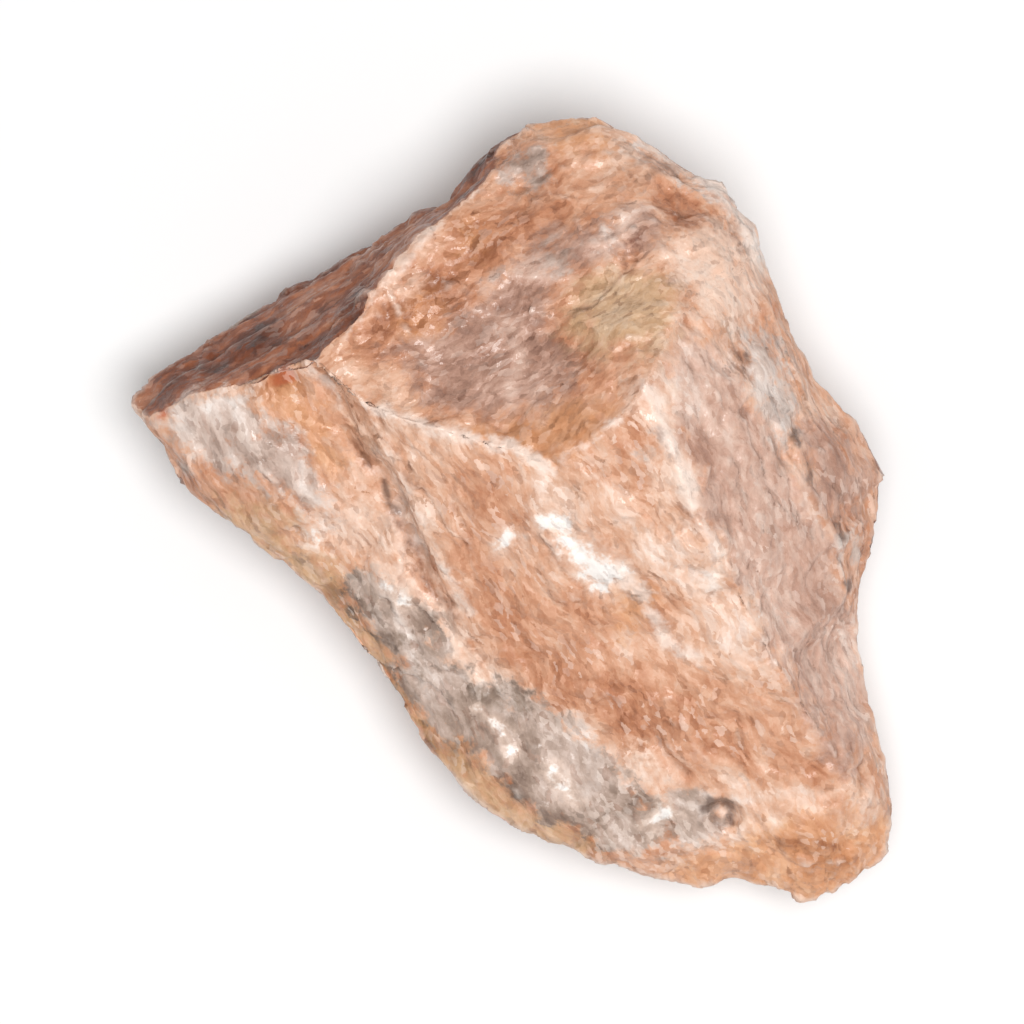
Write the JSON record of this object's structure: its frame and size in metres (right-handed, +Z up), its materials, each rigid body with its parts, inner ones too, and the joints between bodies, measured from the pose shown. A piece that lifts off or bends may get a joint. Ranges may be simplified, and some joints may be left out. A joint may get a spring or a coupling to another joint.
{
  "type": "rough peach moonstone",
  "caption": "Rough broken piece of peach moonstone feldspar with cleavage faces, ridges and ledges, lying on a small flat spot.",
  "frame": {"origin": "bottom centre of the stone's box, on the flat spot that it lies on", "axes": "+Z up; +Y towards the top edge of the picture, which looks straight down on the stone; +X to its right"},
  "size_m": [0.0362, 0.0374, 0.0191],
  "materials": {
    "moonstone": "peach orange feldspar with cream, grey and brown patches, dull broken faces and small bright cleavage glints"
  },
  "bodies": {
    "root": {"moonstone": "moonstone"}
  },
  "joints": []
}
